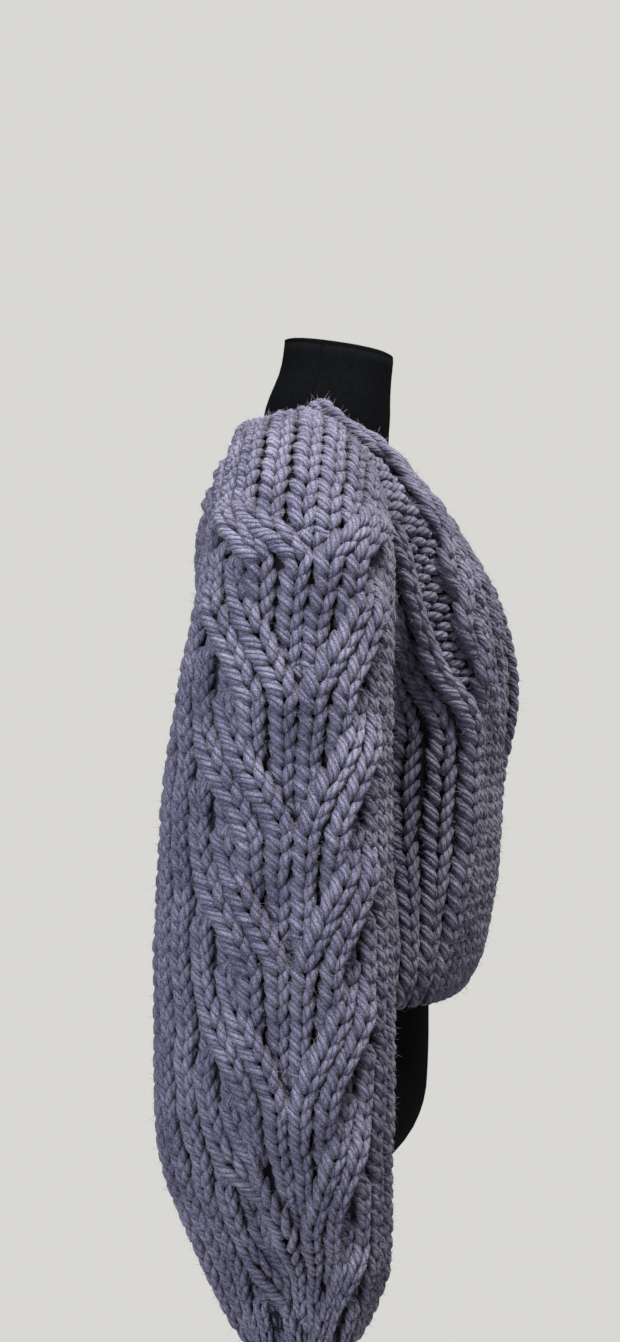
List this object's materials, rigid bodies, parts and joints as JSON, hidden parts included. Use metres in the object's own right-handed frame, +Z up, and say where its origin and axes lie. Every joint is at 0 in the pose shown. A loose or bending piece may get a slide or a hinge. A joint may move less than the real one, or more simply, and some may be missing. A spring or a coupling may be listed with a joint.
{
  "type": "cable-knit cardigan on a limbless dress form",
  "caption": "Cropped chunky cable-knit cardigan with full sleeves gathered into ribbed cuffs, worn on a black limbless dress form that stands on a pole and round base.",
  "frame": {"origin": "centre of the underside of the base plate, on the axis of the pole", "axes": "+Z up; the garment's front faces -Y; the wearer's left is +X"},
  "size_m": [0.7178, 0.38, 1.5172],
  "materials": {
    "yarn": "thick plied heathered grey-violet wool, matt and a little fuzzy",
    "jersey": "black stretch jersey, matt",
    "stand_metal": "black satin paint"
  },
  "bodies": {
    "root": {"back": "yarn", "front_right": "yarn", "front_left": "yarn", "sleeve_right": "yarn", "sleeve_left": "yarn", "cuff_right": "yarn", "cuff_left": "yarn", "form_torso": "jersey", "form_neck_cap": "jersey", "form_fitting": "stand_metal", "form_pole": "stand_metal", "form_base": "stand_metal"}
  },
  "joints": []
}
